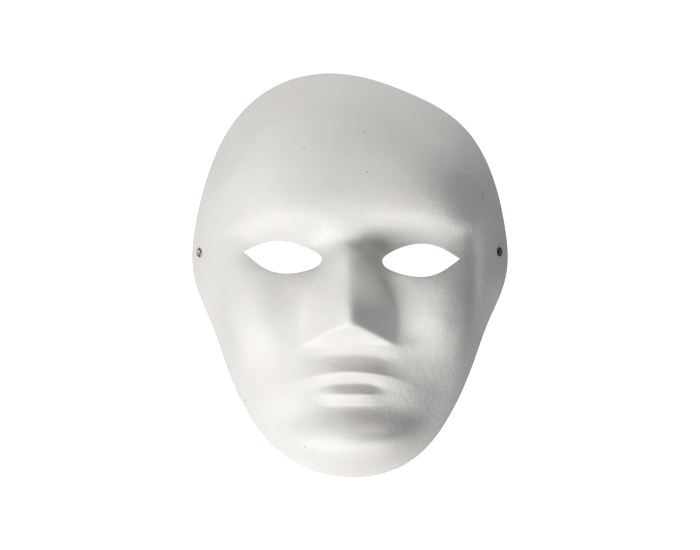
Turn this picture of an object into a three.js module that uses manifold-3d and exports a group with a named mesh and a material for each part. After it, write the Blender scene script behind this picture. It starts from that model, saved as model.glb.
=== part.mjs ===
// Paintable craft mask: a blank full face moulded in one thin skin, with two eye holes and a brass
// eyelet at each temple. It lies on its rim with the hollow side down.
// Millimetres. +X is right in the front view, +Y points to the forehead, +Z out of the face. The
// origin is the middle of the rim, on the plane that the rim rests on.

import * as THREE from "three";
import { mergeVertices } from "three/addons/utils/BufferGeometryUtils.js";
import Module from "manifold-3d";

const wasm = await Module();
wasm.setup();

// Skin: the thickness of the moulded wall.
const WALL = 2.0;

// Rim: radii of the outline's control points, evenly spaced anticlockwise from +X.
const RIM_RADII = [
  95.2, 96.3, 104.3, 113.7, 113, 120.1, 123.4, 116.2, 103.1, 96,
  94.5, 85.8, 90, 102.5, 118.1, 122.4, 120.2, 101.8, 90.1, 85.5,
];
const RIM_POINTS = 120;
// All relief fades into the dome over this last part of the way out to the rim.
const RIM_BLEND = 0.2;

// Dome: its height, and how squarely it rounds over to the sides, the forehead and the chin.
const DOME = { height: 51, side: 3.5, forehead: 1.9, chin: 1.6 };

// Mounds (rise above 0) and hollows (rise below 0): centre, half-widths, turn in degrees, squareness.
const FOREHEAD = { rise: 9.6, x: 0, y: 55.3, wide: 150, tall: 30 };
const BROW = { rise: 2.9, x: 0, y: 41.2, wide: 74, tall: 20.6, square: 0.8 };
const MUZZLE = { rise: 1.7, x: 0, y: -84, wide: 62, tall: 23.3, square: 3.2 };
const CHIN = { rise: 20.5, x: 1.9, y: -114.9, wide: 51.5, tall: 32.9, square: 2.5 };
const TEMPLE_FOLD = { rise: -3.5, x: 72.9, y: -9.6, wide: 4.1, tall: 28.5 };
const PHILTRUM = { rise: 3.6, x: 10.8, y: -40.8, wide: 22.8, tall: 5.5 };
const JAW_PIT = { rise: -5.6, x: 58.5, y: -76, wide: 24.5, tall: 20.7, turn: 7 };
const LOWER_LID = { rise: 4.4, x: 28.8, y: 1.9, wide: 13, tall: 7.4 };
const CHIN_PIT = { rise: -2, x: 15.6, y: -91.4, wide: 17, tall: 5.3 };
const BROW_END = { rise: 1.5, x: 52.3, y: 40.7, wide: 31, tall: 17.2, turn: -35 };
const LOWER_FACE = [MUZZLE, CHIN, PHILTRUM, JAW_PIT, CHIN_PIT];
const SINGLE = [FOREHEAD, BROW, TEMPLE_FOLD, LOWER_LID, BROW_END, ...LOWER_FACE];
const PAIRED = [
  { rise: -15.3, x: 35.5, y: 14.4, wide: 30, tall: 13.7, square: 1.3 }, // eye socket
  { rise: -2.3, x: 61.1, y: 23.4, wide: 11.2, tall: 5.1 }, // outer end of the brow
  { rise: 5.6, x: 8.3, y: 13.3, wide: 11, tall: 7.5 }, // root of the nose
  { rise: -4.8, x: 17.9, y: 14.7, wide: 9.1, tall: 11.7 }, // inner corner of the eye
  { rise: 5.2, x: 35.2, y: 6.9, wide: 22.4, tall: 7.2 }, // lower lid
  { rise: -1.8, x: 27, y: -23, wide: 27.5, tall: 10.4, turn: -65 }, // beside the nose
  { rise: 10.7, x: 62, y: -25.3, wide: 19.3, tall: 24.6, turn: 24.5, square: 1.2 }, // cheek
  { rise: -6.6, x: 78.2, y: 36.2, wide: 15.6, tall: 20.8 }, // temple flare
];

// Nose: a ridge from the root to the tip, two side planes and one plane underneath. The foot's blend
// is even at the root; towards the tip it runs from the left one to the right one between two x.
const NOSE = {
  x: 0.1,
  rootHeight: 60,
  rise: 27.6,
  rootY: 18.6,
  tipY: -29,
  sideSlope: 1.57,
  tipSlope: 1.74,
  ridgeRadius: 5.4,
  underSlope: 3.1,
  underTilt: 0.04,
  edgeBlend: 3.8,
  rootBlend: 3.8,
  leftBlend: 5,
  rightBlend: 2.4,
  blendLeftX: -16,
  blendRightX: 18,
  bridgeY: 4.2,
  bridgeLength: 23.7,
  bridgeDrop: 29,
};

// Lips: each is a roof along X. Distances down the face are measured from the origin.
const LIPS = { x: 0.7, blend: 1 };
const UPPER_LIP = {
  top: 46.2,
  edge: 56,
  upSlope: 0.97,
  downSlope: 1.16,
  arc: 0.0058,
  half: 23,
  square: 2.3,
};
const LOWER_LIP = {
  edge: 68.9,
  rise: 7.3,
  upSlope: 1,
  downSlope: 0.87,
  front: 6.3,
  fallSlope: 2.1,
  arc: 0.001,
  half: 15.3,
  square: 3.1,
};

// Eye holes: corners, and how far the lids stand from the line between them.
const EYE_HOLES = [
  { outer: [-62, 13.2], inner: [-16, 9.2], upperLid: 8.2, lowerLid: 10.6 },
  { outer: [64.3, 9.1], inner: [19, 8.1], upperLid: 9.4, lowerLid: 10 },
];
const LID_STEPS = 18;
const LID_ROUNDNESS = { upper: 0.4, lower: 0.55 };

// Eyelets: a flanged tube through the skin, in a hole a little larger than the tube.
const EYELETS = [
  { name: "eyelet_left", x: -88.9, y: 13 },
  { name: "eyelet_right", x: 88.8, y: 13.5 },
];
const EYELET = { bore: 1.4, tube: 1.75, flange: 2.8, plate: 0.4, gap: 0.3, sides: 20 };

// Fineness of the facets: how far they may stand off the true face, and the edges' lengths.
const OUTER_FACETS = { error: 0.35, shortest: 2, longest: 16, passes: 7 };
const INNER_FACETS = { error: 0.8, shortest: 4, longest: 20, passes: 6 };
const EDGE_TESTS = [0.25, 0.5, 0.75];
// Rings of the coarse net, as parts of the rim radius; each has twice the points of the one within.
const RING_REACHES = [0.5, 0.8, 0.94, 1];
// The ball that feels out the inner face: its rings as parts of the wall, and the spokes of each.
const BALL_RINGS = [0.6, 0.9];
const BALL_SPOKES = 8;
const TINY = 1e-9;
const WELD = 1e-4;

const smoothMax = (a, b, blend) => (a + b + Math.sqrt((a - b) ** 2 + blend ** 2)) / 2;
const smoothMin = (a, b, blend) => -smoothMax(-a, -b, blend);
const fade = (x, half, square) => Math.exp(-(Math.abs(x / half) ** square));

function smoothStep(t) {
  const c = Math.min(1, Math.max(0, t));
  return c ** 3 * (10 - 15 * c + 6 * c * c);
}

/** Radius of the rim at an angle: a closed uniform cubic B-spline through the control radii. */
function rimRadius(angle) {
  const count = RIM_RADII.length;
  const turn = ((angle / (2 * Math.PI)) % 1 + 1) % 1;
  const first = Math.floor(turn * count);
  const f = turn * count - first;
  const weights = [
    (1 - f) ** 3,
    3 * f ** 3 - 6 * f ** 2 + 4,
    3 * (f + f ** 2 - f ** 3) + 1,
    f ** 3,
  ];
  const control = (k) => RIM_RADII[(first + k - 1 + count) % count];
  return weights.reduce((sum, weight, k) => sum + (weight / 6) * control(k), 0);
}

/** Height of one mound, mirrored to the left when side is -1. */
function mound(x, y, { rise, x: cx, y: cy, wide, tall, turn = 0, square = 1 }, side = 1) {
  const angle = (turn * Math.PI) / 180;
  const dx = side * x - cx;
  const dy = y - cy;
  const u = (dx * Math.cos(angle) + dy * Math.sin(angle)) / wide;
  const v = (dy * Math.cos(angle) - dx * Math.sin(angle)) / tall;
  return rise * Math.exp(-((u * u + v * v) ** square));
}

function domeHeight(x, y) {
  const angle = Math.atan2(y, x);
  const reach = Math.hypot(x, y) / rimRadius(angle);
  const upright = Math.sin(angle) ** 2 * (y > 0 ? DOME.forehead : DOME.chin);
  return DOME.height * (1 - reach ** (DOME.side + upright));
}

/** How far down the nose a point lies: 0 at the root, 1 at the tip. */
const downNose = (y) => smoothStep((NOSE.rootY - y) / (NOSE.rootY - NOSE.tipY));

function noseHeight(x, y) {
  const across = Math.sqrt((x - NOSE.x) ** 2 + NOSE.ridgeRadius ** 2) - NOSE.ridgeRadius;
  const slope = NOSE.sideSlope + (NOSE.tipSlope - NOSE.sideSlope) * downNose(y);
  const side = NOSE.rootHeight + NOSE.rise * downNose(y) - slope * across;
  const tip = NOSE.rootHeight + NOSE.rise;
  const under = tip - NOSE.underSlope * (NOSE.tipY - y) + NOSE.underTilt * (x - NOSE.x);
  const bridge = NOSE.bridgeDrop * Math.max(0, (y - NOSE.bridgeY) / NOSE.bridgeLength) ** 2;
  return smoothMin(side, under, NOSE.edgeBlend) - bridge;
}

/** How widely the nose's foot is rounded into the cheeks at a point. */
function footBlend(x, y) {
  const leftness = smoothStep((NOSE.blendRightX - x) / (NOSE.blendRightX - NOSE.blendLeftX));
  const low = NOSE.rightBlend + (NOSE.leftBlend - NOSE.rightBlend) * leftness;
  return NOSE.rootBlend + (low - NOSE.rootBlend) * downNose(y);
}

/** Relief of both lips above the muzzle; the groove between the two roofs is the closed mouth. */
function lipRelief(x, y) {
  const across = x - LIPS.x;
  const { blend } = LIPS;
  const below = -y - UPPER_LIP.arc * across ** 2;
  const crest = UPPER_LIP.upSlope * (UPPER_LIP.edge - UPPER_LIP.top);
  const upperRoof = smoothMin(
    UPPER_LIP.upSlope * (below - UPPER_LIP.top),
    crest - UPPER_LIP.downSlope * (below - UPPER_LIP.edge),
    blend,
  );
  const past = -y - LOWER_LIP.arc * across ** 2 - LOWER_LIP.edge;
  const front = LOWER_LIP.rise - LOWER_LIP.downSlope * past;
  const foot = LOWER_LIP.rise - LOWER_LIP.downSlope * LOWER_LIP.front;
  const lowerRoof = smoothMin(
    smoothMin(LOWER_LIP.rise + LOWER_LIP.upSlope * past, front, blend),
    foot - LOWER_LIP.fallSlope * (past - LOWER_LIP.front),
    blend,
  );
  const upper = smoothMax(upperRoof, 0, blend) * fade(across, UPPER_LIP.half, UPPER_LIP.square);
  const lower = smoothMax(lowerRoof, 0, blend) * fade(across, LOWER_LIP.half, LOWER_LIP.square);
  return smoothMax(upper, lower, blend) - blend / 2;
}

/** Height of the outer face over the rim plane. */
function faceHeight(x, y) {
  const dome = domeHeight(x, y);
  const middle = SINGLE.reduce((sum, m) => sum + mound(x, y, m), 0);
  const sides = PAIRED.reduce((sum, m) => sum + mound(x, y, m) + mound(x, y, m, -1), 0);
  const head = dome + middle + sides + lipRelief(x, y);
  const whole = smoothMax(head, noseHeight(x, y), footBlend(x, y));
  const reach = Math.hypot(x, y) / rimRadius(Math.atan2(y, x));
  return dome + smoothStep((1 - reach) / RIM_BLEND) * (whole - dome);
}

/** Height of the inner face: as deep as a ball of the wall's thickness reaches on the outer face. */
function hollowHeight(x, y) {
  let lowest = faceHeight(x, y) - WALL;
  for (const ring of BALL_RINGS) {
    const drop = WALL * Math.sqrt(1 - ring ** 2);
    for (let k = 0; k < BALL_SPOKES; k += 1) {
      const angle = (2 * Math.PI * k) / BALL_SPOKES;
      const dx = ring * WALL * Math.cos(angle);
      const dy = ring * WALL * Math.sin(angle);
      lowest = Math.min(lowest, faceHeight(x + dx, y + dy) - drop);
    }
  }
  return lowest;
}

/** Part of the rim radius at which the inner face meets the rim plane, from the dome's slope there. */
function hollowReach(angle) {
  const upright = Math.sin(angle) ** 2 * (Math.sin(angle) > 0 ? DOME.forehead : DOME.chin);
  const slope = (DOME.height * (DOME.side + upright)) / rimRadius(angle);
  return 1 - (WALL * Math.hypot(1, 1 / slope)) / rimRadius(angle);
}

/** Points evenly spaced round a circle about the middle of the unit disc. */
function discRing(reach, count) {
  return Array.from({ length: count }, (_, k) => {
    const angle = (2 * Math.PI * k) / count;
    return [reach * Math.cos(angle), reach * Math.sin(angle)];
  });
}

/** Coarse triangles over the unit disc: a fan round the centre, then rings that double their points. */
function coarseDisc() {
  const points = [[0, 0]];
  const triangles = [];
  let within = 0;
  let count = RIM_POINTS / 2 ** (RING_REACHES.length - 1);
  for (const reach of RING_REACHES) {
    const start = points.length;
    points.push(...discRing(reach, count));
    for (let k = 0; k < count; k += 2) {
      const [a, b, c] = [start + k, start + k + 1, start + ((k + 2) % count)];
      const near = within + k / 2;
      const next = within + ((k / 2 + 1) % (count / 2));
      if (within > 0) triangles.push([near, a, b], [near, b, next], [next, b, c]);
    }
    if (within === 0) {
      for (let k = 0; k < count; k += 1) triangles.push([0, start + k, start + ((k + 1) % count)]);
    }
    within = start;
    count *= 2;
  }
  return { points, triangles };
}

const between = ([p, q], [r, s], t) => [p + t * (r - p), q + t * (s - q)];
const onRim = ([p, q]) => Math.hypot(p, q) > 1 - TINY;

/** Whether the straight edge from a to b stands off the surface, or is too long. */
function edgeIsCoarse(a, b, place, { error, shortest, longest }) {
  const length = a.there.distanceTo(b.there);
  if (length < shortest) return false;
  if (length > longest) return true;
  return EDGE_TESTS.some((t) => {
    const onSurface = place(between(a.disc, b.disc, t));
    return onSurface.distanceTo(a.there.clone().lerp(b.there, t)) > error;
  });
}

/** Splits coarse edges, and the longest edge of each triangle so cut; the rim's points stay. */
function refine({ points, triangles }, place, facets) {
  const nodes = points.map((disc) => ({ disc, there: place(disc), rim: onRim(disc) }));
  const edgeKey = (a, b) => (a < b ? `${a},${b}` : `${b},${a}`);
  let current = triangles;
  for (let pass = 0; pass < facets.passes; pass += 1) {
    const splits = new Map();
    const mark = (a, b) => {
      if (splits.get(edgeKey(a, b)) || (nodes[a].rim && nodes[b].rim)) return false;
      splits.set(edgeKey(a, b), [a, b]);
      return true;
    };
    for (const [a, b, c] of current) {
      for (const [from, to] of [[a, b], [b, c], [c, a]]) {
        const coarse = from < to && edgeIsCoarse(nodes[from], nodes[to], place, facets);
        if (coarse) mark(from, to);
      }
    }
    for (let spreading = true; spreading; ) {
      spreading = false;
      for (const [a, b, c] of current) {
        const edges = [[a, b], [b, c], [c, a]];
        const cut = edges.some(([from, to]) => splits.has(edgeKey(from, to)));
        const length = ([from, to]) => nodes[from].there.distanceTo(nodes[to].there);
        const longest = edges.reduce((best, edge) => (length(edge) > length(best) ? edge : best));
        if (cut && mark(...longest)) spreading = true;
      }
    }
    const middles = new Map();
    for (const [key, [a, b]] of splits) {
      const disc = between(nodes[a].disc, nodes[b].disc, 0.5);
      middles.set(key, nodes.length);
      nodes.push({ disc, there: place(disc), rim: false });
    }
    const middle = (a, b) => middles.get(edgeKey(a, b)) ?? -1;
    current = current.flatMap(([a, b, c]) => {
      return splitTriangle(a, b, c, middle(a, b), middle(b, c), middle(c, a));
    });
  }
  return { placed: nodes.map((node) => node.there), triangles: current };
}

/** The triangles that a, b, c falls into when the edges with a middle (not -1) are split. */
function splitTriangle(a, b, c, ab, bc, ca) {
  const split = [ab, bc, ca].filter((m) => m >= 0).length;
  if (split === 0) return [[a, b, c]];
  if (split === 3) return [[a, ab, ca], [ab, b, bc], [ca, bc, c], [ab, bc, ca]];
  if (split === 1 && ab >= 0) return [[a, ab, c], [ab, b, c]];
  if (split === 2 && ca < 0) return [[ab, b, bc], [a, ab, bc], [a, bc, c]];
  return splitTriangle(b, c, a, bc, ca, ab);
}

/** Where a point of the unit disc lies on the outer face. */
function outerPlace([p, q]) {
  const radius = rimRadius(Math.atan2(q, p));
  const height = onRim([p, q]) ? 0 : faceHeight(p * radius, q * radius);
  return new THREE.Vector3(p * radius, q * radius, height);
}

/** Where a point of the unit disc lies on the inner face. */
function innerPlace([p, q]) {
  const angle = Math.atan2(q, p);
  const radius = rimRadius(angle) * hollowReach(angle);
  const height = onRim([p, q]) ? 0 : Math.max(0, hollowHeight(p * radius, q * radius));
  return new THREE.Vector3(p * radius, q * radius, height);
}

/** Skin before any hole: outer face, inner face turned over, and the flat rim between them. */
function skinGeometry() {
  const outer = refine(coarseDisc(), outerPlace, OUTER_FACETS);
  const inner = refine(coarseDisc(), innerPlace, INNER_FACETS);
  const innerStart = outer.placed.length;
  const rimStart = coarseDisc().points.length - RIM_POINTS;
  const turnedOver = inner.triangles.map(([a, b, c]) => [a, c, b].map((k) => innerStart + k));
  const triangles = [...outer.triangles, ...turnedOver];
  for (let k = 0; k < RIM_POINTS; k += 1) {
    const a = rimStart + k;
    const b = rimStart + ((k + 1) % RIM_POINTS);
    triangles.push([b, a, innerStart + a], [b, innerStart + a, innerStart + b]);
  }
  const flat = [...outer.placed, ...inner.placed].flatMap((p) => [p.x, p.y, p.z]);
  const geometry = new THREE.BufferGeometry();
  geometry.setAttribute("position", new THREE.Float32BufferAttribute(flat, 3));
  geometry.setIndex(triangles.flat());
  return geometry;
}

/** Outline of an eye hole, pointed at the outer corner and blunter at the inner one. */
function eyeHoleShape({ outer, inner, upperLid, lowerLid }) {
  const lidPoint = (t, lid, roundness) => {
    const bow = Math.max(0, Math.sin(Math.PI * t)) ** (1 - roundness * t);
    const [x, y] = between(outer, inner, t);
    return new THREE.Vector2(x, y + lid * bow);
  };
  const points = [];
  const { upper, lower } = LID_ROUNDNESS;
  for (let k = 0; k < LID_STEPS; k += 1) points.push(lidPoint(k / LID_STEPS, upperLid, upper));
  for (let k = LID_STEPS; k > 0; k -= 1) points.push(lidPoint(k / LID_STEPS, -lowerLid, lower));
  return new THREE.Shape(points);
}

function eyeHoleCutter(hole) {
  return new THREE.ExtrudeGeometry(eyeHoleShape(hole), { depth: 2 * DOME.height, bevelEnabled: false });
}

/** Point on the outer face and the turn from +Z to the face's normal there. */
function seat(x, y) {
  const step = EYELET.flange;
  const slopeX = (faceHeight(x + step, y) - faceHeight(x - step, y)) / (2 * step);
  const slopeY = (faceHeight(x, y + step) - faceHeight(x, y - step)) / (2 * step);
  const normal = new THREE.Vector3(-slopeX, -slopeY, 1).normalize();
  const turn = new THREE.Quaternion().setFromUnitVectors(new THREE.Vector3(0, 0, 1), normal);
  return { position: new THREE.Vector3(x, y, faceHeight(x, y)), turn };
}

/** Drill for an eyelet's hole, square to the face and long enough to pass the wall both ways. */
function eyeletHoleCutter({ x, y }) {
  const { position, turn } = seat(x, y);
  const radius = EYELET.tube + EYELET.gap;
  const length = 6 * WALL;
  const cutter = new THREE.CylinderGeometry(radius, radius, length, EYELET.sides);
  cutter.rotateX(Math.PI / 2).applyQuaternion(turn);
  return cutter.translate(position.x, position.y, position.z);
}

function toSolid(geometry) {
  const bare = geometry.clone();
  bare.deleteAttribute("normal");
  bare.deleteAttribute("uv");
  const merged = mergeVertices(bare, WELD);
  return new wasm.Manifold(new wasm.Mesh({
    numProp: 3,
    vertProperties: new Float32Array(merged.attributes.position.array),
    triVerts: new Uint32Array(merged.index.array),
  }));
}

function fromSolid(solid) {
  const { vertProperties, triVerts } = solid.getMesh();
  const geometry = new THREE.BufferGeometry();
  geometry.setAttribute("position", new THREE.Float32BufferAttribute(vertProperties, 3));
  geometry.setIndex([...triVerts]);
  geometry.computeVertexNormals();
  return geometry;
}

function maskShell() {
  const cutters = [...EYE_HOLES.map(eyeHoleCutter), ...EYELETS.map(eyeletHoleCutter)];
  const skin = toSolid(skinGeometry());
  const solid = cutters.reduce((left, cutter) => left.subtract(toSolid(cutter)), skin);
  const pulp = new THREE.MeshStandardMaterial({ color: 0xeeecea, roughness: 0.75, metalness: 0 });
  const mesh = new THREE.Mesh(fromSolid(solid), pulp);
  mesh.name = "mask_shell";
  return mesh;
}

/** One eyelet: its profile turned round the bore, front flange outside the skin, rolled one inside. */
function eyelet({ name, x, y }) {
  const front = EYELET.gap + EYELET.plate;
  const back = -WALL - EYELET.gap - EYELET.plate;
  const profile = [
    [EYELET.bore, back],
    [EYELET.flange, back],
    [EYELET.flange, back + EYELET.plate],
    [EYELET.tube, back + EYELET.plate],
    [EYELET.tube, EYELET.gap],
    [EYELET.flange, EYELET.gap],
    [EYELET.flange, front],
    [EYELET.bore, front],
    [EYELET.bore, back],
  ].map(([r, h]) => new THREE.Vector2(r, h));
  const geometry = new THREE.LatheGeometry(profile, EYELET.sides).rotateX(Math.PI / 2);
  const brass = new THREE.MeshStandardMaterial({ color: 0x6b5a34, roughness: 0.35, metalness: 1 });
  const mesh = new THREE.Mesh(geometry, brass);
  const { position, turn } = seat(x, y);
  mesh.name = name;
  mesh.position.copy(position);
  mesh.quaternion.copy(turn);
  return mesh;
}

const mask = new THREE.Group();
mask.add(maskShell());
for (const place of EYELETS) mask.add(eyelet(place));

export default mask;
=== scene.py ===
"""Looks of the paintable craft mask: a thin white pulp skin and two brass eyelets, in a white cove.

The skin is one height over the rim plane, worked out from the same sizes as the CAD part. Shapes
are in millimetres here, and a mesh's points are turned into metres when it is made. The cove, the
lights and the camera are in metres. +X is right in the front view, +Y points to the forehead and
+Z out of the face. Where a function takes x and y, they are plan coordinates of its points.
"""

import logging
import math
from dataclasses import dataclass, field
from enum import Enum
from typing import Callable, Sequence

import bpy
import numpy as np
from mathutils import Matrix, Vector
from numpy.typing import NDArray


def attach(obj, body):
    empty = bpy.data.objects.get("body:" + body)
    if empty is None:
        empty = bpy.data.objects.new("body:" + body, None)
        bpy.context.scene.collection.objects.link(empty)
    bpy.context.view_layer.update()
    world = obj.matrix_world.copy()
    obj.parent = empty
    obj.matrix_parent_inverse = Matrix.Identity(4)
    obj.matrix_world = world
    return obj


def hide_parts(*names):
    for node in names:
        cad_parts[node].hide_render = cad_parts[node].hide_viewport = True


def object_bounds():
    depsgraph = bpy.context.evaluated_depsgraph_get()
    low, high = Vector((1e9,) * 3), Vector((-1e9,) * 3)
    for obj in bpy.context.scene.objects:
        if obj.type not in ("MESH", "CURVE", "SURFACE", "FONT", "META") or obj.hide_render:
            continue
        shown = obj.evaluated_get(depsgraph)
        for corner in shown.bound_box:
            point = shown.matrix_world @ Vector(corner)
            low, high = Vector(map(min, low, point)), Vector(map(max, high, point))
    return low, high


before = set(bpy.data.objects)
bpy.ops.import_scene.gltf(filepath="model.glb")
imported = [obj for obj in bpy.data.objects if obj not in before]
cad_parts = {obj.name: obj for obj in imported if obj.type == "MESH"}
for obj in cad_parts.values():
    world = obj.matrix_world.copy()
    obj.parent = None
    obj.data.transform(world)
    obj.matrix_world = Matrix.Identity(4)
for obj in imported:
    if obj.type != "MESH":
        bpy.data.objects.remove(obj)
CAD_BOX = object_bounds()

MM = 0.001
log = logging.getLogger("craft_mask")

Array = NDArray[np.float64]
Index = NDArray[np.int64]
Height = Callable[[Array, Array], Array]
Span = tuple[float, float]
Colour = tuple[float, float, float, float]
Socket = bpy.types.NodeSocket

WHITE: Colour = (1.0, 1.0, 1.0, 1.0)
GRADING_SAMPLES = 4001
GRADING_EASE = 0.06


class Side(Enum):
    """The two halves of the face, as seen from the front."""

    LEFT = "left"
    RIGHT = "right"


class Lid(Enum):
    """The edge of an eye hole above or below its corners, with the sign of its bow."""

    UPPER = 1.0
    LOWER = -1.0


def smooth_max(a: Array | float, b: Array | float, blend: float) -> Array:
    """The larger of a and b, rounded over where they are closer than the blend."""
    return (a + b + np.sqrt((a - b) ** 2 + blend**2)) / 2


def smooth_min(a: Array | float, b: Array | float, blend: float) -> Array:
    """The smaller of a and b, rounded over where they are closer than the blend."""
    return -smooth_max(-a, -b, blend)


def smooth_step(t: Array | float) -> Array:
    """A ramp from 0 to 1 with level ends: t^3 (10 - 15 t + 6 t^2), held outside 0 to 1."""
    c = np.clip(t, 0.0, 1.0)
    return c**3 * (10 - 15 * c + 6 * c * c)


def fade(x: Array, half: float, square: float) -> Array:
    """A window round 0 that falls off at the half-width: exp(-|x / half|^square)."""
    return np.exp(-(np.abs(x / half) ** square))


def unit(vectors: Array) -> Array:
    """The vectors along the last axis, each made one long."""
    return vectors / np.maximum(np.linalg.norm(vectors, axis=-1, keepdims=True), 1e-12)


def put_in_scene(name: str, data: bpy.types.ID) -> bpy.types.Object:
    """A new object with the given data, linked to the scene."""
    made = bpy.data.objects.new(name, data)
    bpy.context.scene.collection.objects.link(made)
    return made


@dataclass(frozen=True)
class Mound:
    """A rounded rise, or a hollow where the rise is below 0."""

    rise: float
    x: float
    y: float
    wide: float
    tall: float
    turn: float = 0.0
    square: float = 1.0

    def height(self, x: Array, y: Array) -> Array:
        """rise * exp(-(u^2 + v^2)^square), with u and v in half-widths along the turned axes."""
        angle = math.radians(self.turn)
        dx, dy = x - self.x, y - self.y
        u = (dx * math.cos(angle) + dy * math.sin(angle)) / self.wide
        v = (dy * math.cos(angle) - dx * math.sin(angle)) / self.tall
        return self.rise * np.exp(-((u * u + v * v) ** self.square))


@dataclass(frozen=True)
class Nose:
    """A ridge from the root to the tip, with two side planes and one plane underneath."""

    x: float = 0.1
    root_height: float = 60
    rise: float = 27.6
    root_y: float = 18.6
    tip_y: float = -29
    side_slope: float = 1.57
    tip_slope: float = 1.74
    ridge_radius: float = 5.4
    under_slope: float = 3.1
    under_tilt: float = 0.04
    edge_blend: float = 3.8
    root_blend: float = 3.8
    left_blend: float = 5.0
    right_blend: float = 2.4
    blend_sides: Span = (18.0, -16.0)
    bridge_y: float = 4.2
    bridge_length: float = 23.7
    bridge_drop: float = 29

    def down(self, y: Array) -> Array:
        """How far down the nose a point lies: a smooth rise from 0 at the root to 1 at the tip."""
        return smooth_step((self.root_y - y) / (self.root_y - self.tip_y))

    def height(self, x: Array, y: Array) -> Array:
        """The lower of the side planes and the underside, less a parabola where the bridge ends."""
        across = np.sqrt((x - self.x) ** 2 + self.ridge_radius**2) - self.ridge_radius
        along = self.down(y)
        slope = self.side_slope + (self.tip_slope - self.side_slope) * along
        side = self.root_height + self.rise * along - slope * across
        under = self.root_height + self.rise - self.under_slope * (self.tip_y - y)
        under = under + self.under_tilt * (x - self.x)
        bridge = self.bridge_drop * np.maximum(0, (y - self.bridge_y) / self.bridge_length) ** 2
        return smooth_min(side, under, self.edge_blend) - bridge

    def foot_blend(self, x: Array, y: Array) -> Array:
        """How widely the foot is rounded: evenly at the root, softer on the left near the tip."""
        right, left = self.blend_sides
        leftness = smooth_step((right - x) / (right - left))
        low = self.right_blend + (self.left_blend - self.right_blend) * leftness
        return self.root_blend + (low - self.root_blend) * self.down(y)


@dataclass(frozen=True)
class Lips:
    """Two roofs along X whose crests are arcs; the groove between them is the closed mouth."""

    x: float = 0.7
    blend: float = 1.0
    upper_top: float = 46.2
    upper_edge: float = 56.0
    upper_up: float = 0.97
    upper_down: float = 1.16
    upper_arc: float = 0.0058
    upper_half: float = 23.0
    upper_square: float = 2.3
    lower_edge: float = 68.9
    lower_rise: float = 7.3
    lower_up: float = 1.0
    lower_down: float = 0.87
    lower_front: float = 6.3
    lower_fall: float = 2.1
    lower_arc: float = 0.001
    lower_half: float = 15.3
    lower_square: float = 3.1

    def relief(self, x: Array, y: Array) -> Array:
        """Height of both lips over the muzzle: the higher of the two faded roofs.

        Each roof is the lowest of its planes, with their edges rounded over. They are planes in the
        distance below an arc, -y - arc * across^2, so every crest and foot bows as the mouth does.
        """
        across = x - self.x
        below = -y - self.upper_arc * across**2
        crest = self.upper_up * (self.upper_edge - self.upper_top)
        upper_roof = smooth_min(
            self.upper_up * (below - self.upper_top),
            crest - self.upper_down * (below - self.upper_edge),
            self.blend,
        )
        past = -y - self.lower_arc * across**2 - self.lower_edge
        front = self.lower_rise - self.lower_down * past
        foot = self.lower_rise - self.lower_down * self.lower_front
        lower_roof = smooth_min(
            smooth_min(self.lower_rise + self.lower_up * past, front, self.blend),
            foot - self.lower_fall * (past - self.lower_front),
            self.blend,
        )
        upper_part = fade(across, self.upper_half, self.upper_square)
        lower_part = fade(across, self.lower_half, self.lower_square)
        upper = smooth_max(upper_roof, 0.0, self.blend) * upper_part
        lower = smooth_max(lower_roof, 0.0, self.blend) * lower_part
        return smooth_max(upper, lower, self.blend) - self.blend / 2


@dataclass(frozen=True)
class Rim:
    """The outline: radii of its control points, evenly spaced anticlockwise from +X."""

    radii: tuple[float, ...] = (
        95.2, 96.3, 104.3, 113.7, 113, 120.1, 123.4, 116.2, 103.1, 96,
        94.5, 85.8, 90, 102.5, 118.1, 122.4, 120.2, 101.8, 90.1, 85.5,
    )

    def radius(self, angle: Array) -> Array:
        """A closed uniform cubic B-spline through the control radii, read at an angle."""
        count = len(self.radii)
        turn = (np.asarray(angle) / (2 * np.pi)) % 1.0 * count
        first = np.floor(turn).astype(int)
        f = turn - first
        weights = (1 - f) ** 3, 3 * f**3 - 6 * f**2 + 4, 3 * (f + f**2 - f**3) + 1, f**3
        radii = np.asarray(self.radii, float)
        return sum(w * radii[(first + k - 1) % count] for k, w in enumerate(weights)) / 6

    def point(self, angle: Array, part: Array | float = 1.0) -> Array:
        """The point of the outline at an angle, or at a part of the radius there."""
        r = self.radius(angle) * part
        return np.stack([r * np.cos(angle), r * np.sin(angle)], -1)


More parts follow.
